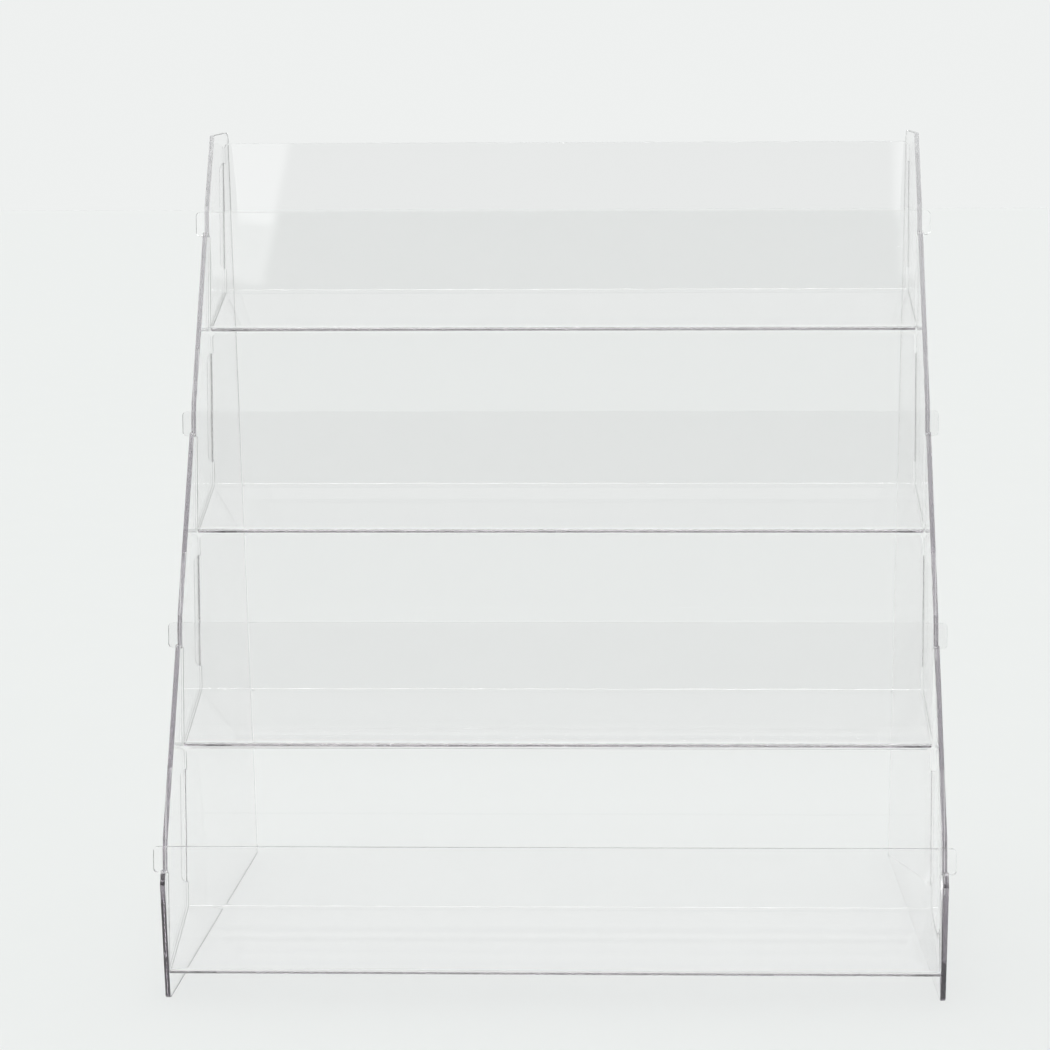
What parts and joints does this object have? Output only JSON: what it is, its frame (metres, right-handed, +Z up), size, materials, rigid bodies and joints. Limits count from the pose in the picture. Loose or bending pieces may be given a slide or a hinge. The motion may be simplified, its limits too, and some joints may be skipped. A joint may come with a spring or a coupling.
{
  "type": "tiered leaflet rack",
  "caption": "Free-standing tiered leaflet rack: clear side panels carry stepped, folded trays by tabs in slots and ears in hooked notches.",
  "frame": {"origin": "on the table, in the middle of the footprint", "axes": "+X to the right of somebody facing the rack, +Y to the rear, +Z up"},
  "size_m": [0.6318, 0.3268, 0.6835],
  "materials": {
    "clear_acrylic_side": "gloss",
    "clear_acrylic_tray": "gloss"
  },
  "bodies": {
    "root": {"side_panel_left": "clear_acrylic_side", "side_panel_right": "clear_acrylic_side", "leaflet_tray_bottom": "clear_acrylic_tray", "leaflet_tray_lower": "clear_acrylic_tray", "leaflet_tray_upper": "clear_acrylic_tray", "leaflet_tray_top": "clear_acrylic_tray"}
  },
  "joints": []
}
